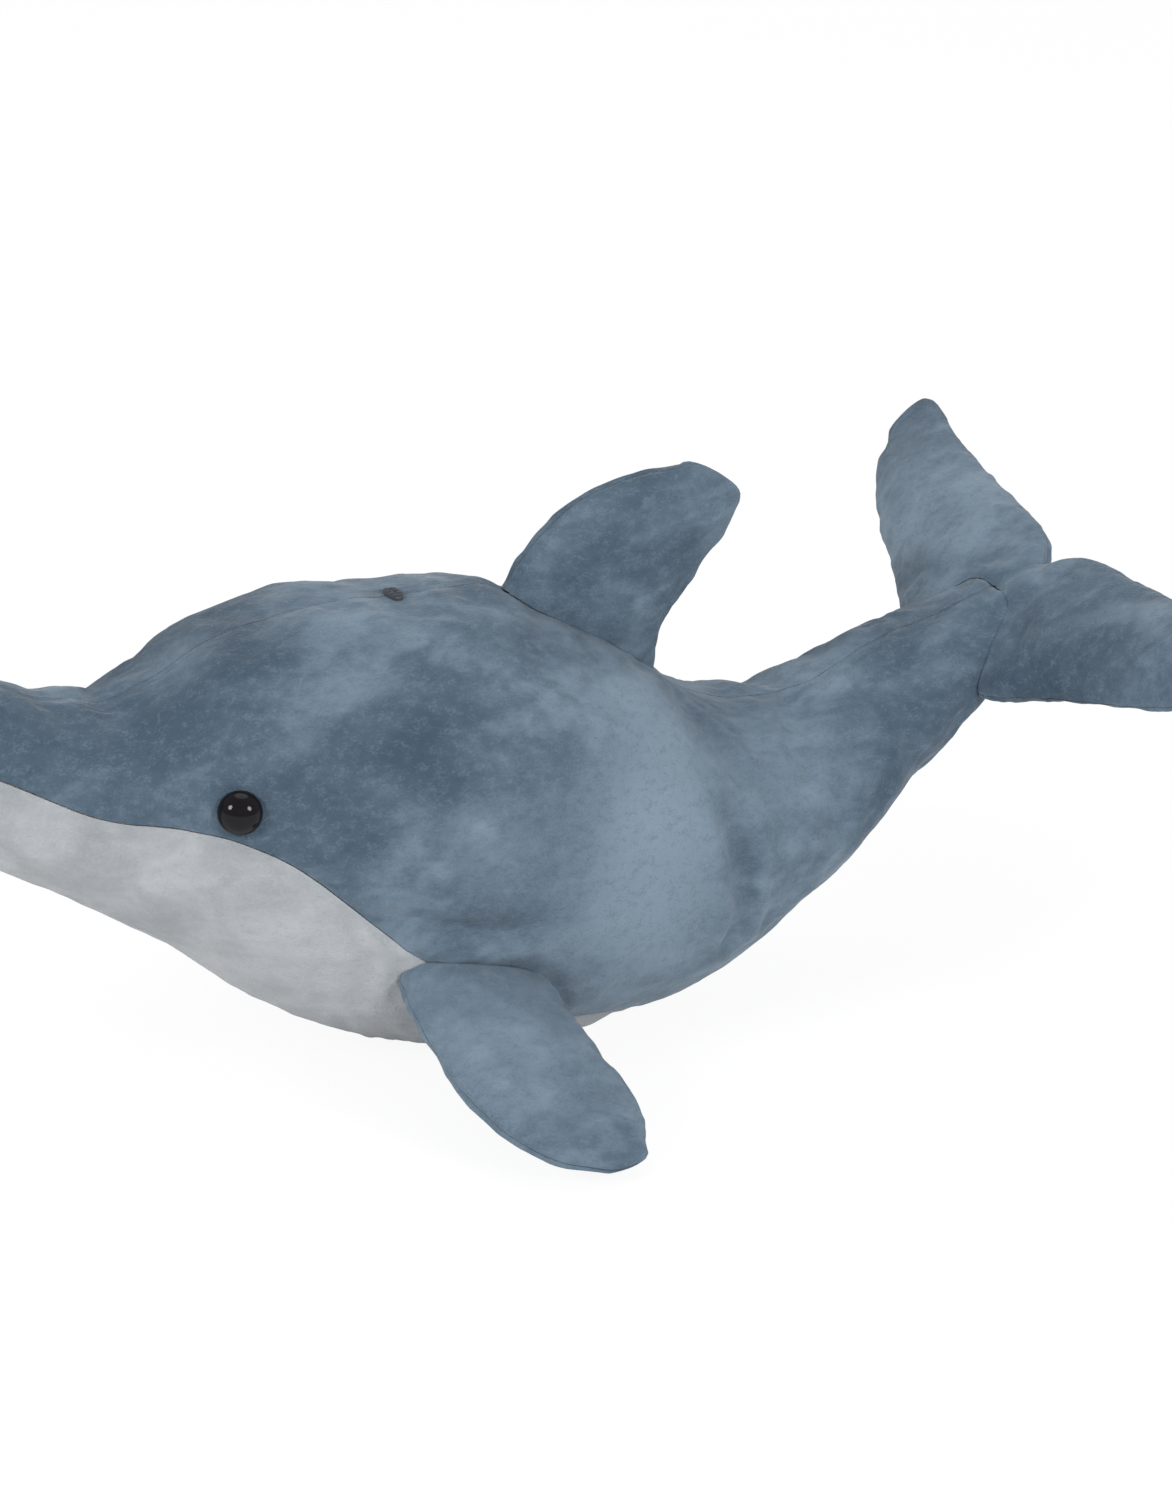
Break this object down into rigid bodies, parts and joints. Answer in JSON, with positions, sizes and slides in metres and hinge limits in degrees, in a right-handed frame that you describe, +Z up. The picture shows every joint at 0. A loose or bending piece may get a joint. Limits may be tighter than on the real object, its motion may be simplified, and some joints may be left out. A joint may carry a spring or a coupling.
{
  "type": "plush dolphin",
  "caption": "Soft stuffed toy dolphin in blue-grey and off-white plush, lying on its belly with head and tail raised, with glossy black eyes.",
  "frame": {"origin": "middle of the flat patch under the belly, on the ground", "axes": "+X from the snout towards the tail, -Y the dolphin's left side, +Z up"},
  "size_m": [0.3679, 0.2182, 0.1539],
  "materials": {
    "blue_plush": "short mottled pile",
    "white_plush": "short pile",
    "fibre_filling": "loose fibre",
    "black_eye": "polished",
    "eye_washer": "as moulded",
    "dark_thread": "embroidered"
  },
  "bodies": {
    "root": {"left_side_panel": "blue_plush", "right_side_panel": "blue_plush", "belly_panel": "white_plush", "body_filling": "fibre_filling", "dorsal_fin_left_face": "blue_plush", "dorsal_fin_right_face": "blue_plush", "dorsal_fin_filling": "fibre_filling", "left_flipper_upper_face": "blue_plush", "left_flipper_lower_face": "blue_plush", "left_flipper_filling": "fibre_filling", "right_flipper_upper_face": "blue_plush", "right_flipper_lower_face": "blue_plush", "right_flipper_filling": "fibre_filling", "tail_flukes_upper_face": "blue_plush", "tail_flukes_lower_face": "blue_plush", "tail_flukes_filling": "fibre_filling", "left_eye": "black_eye", "right_eye": "black_eye", "left_eye_washer": "eye_washer", "right_eye_washer": "eye_washer", "blowhole": "dark_thread"}
  },
  "joints": []
}
